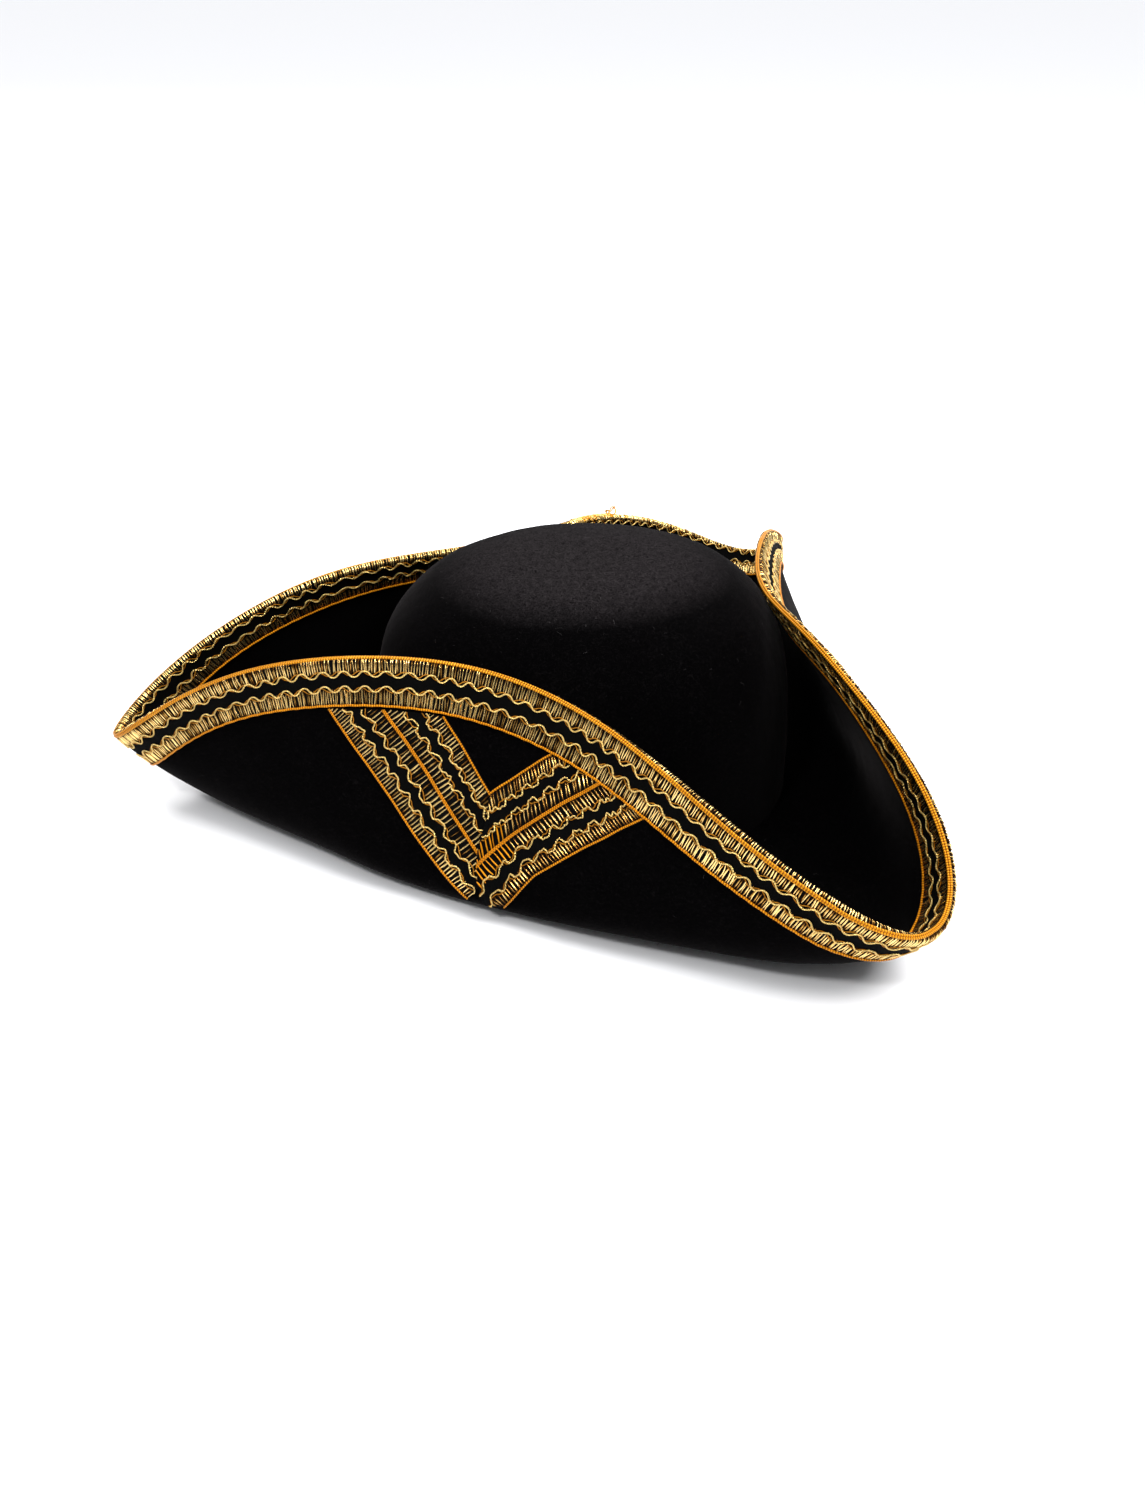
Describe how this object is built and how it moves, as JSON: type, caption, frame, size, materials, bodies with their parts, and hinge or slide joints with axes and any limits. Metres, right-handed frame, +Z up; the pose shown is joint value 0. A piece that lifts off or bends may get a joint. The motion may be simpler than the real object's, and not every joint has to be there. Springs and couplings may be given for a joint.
{
  "type": "tricorn hat",
  "caption": "Low round-crowned felt hat whose brim is turned up on three sides into a triangle, edged with folded metallic braid and with a braid V on the wearer's left flap.",
  "frame": {"origin": "middle of the hat's overall length and width, on the surface it stands on", "axes": "+Z up, -Y towards the front corner, +X towards the wearer's left"},
  "size_m": [0.382, 0.3552, 0.1185],
  "materials": {
    "felt": "near-black wool felt, fine short fibres, soft low sheen",
    "braid": "metallic gold lace braid with black bands"
  },
  "bodies": {
    "root": {"felt_hood": "felt", "edge_braid": "braid", "chevron_braid": "braid"}
  },
  "joints": []
}
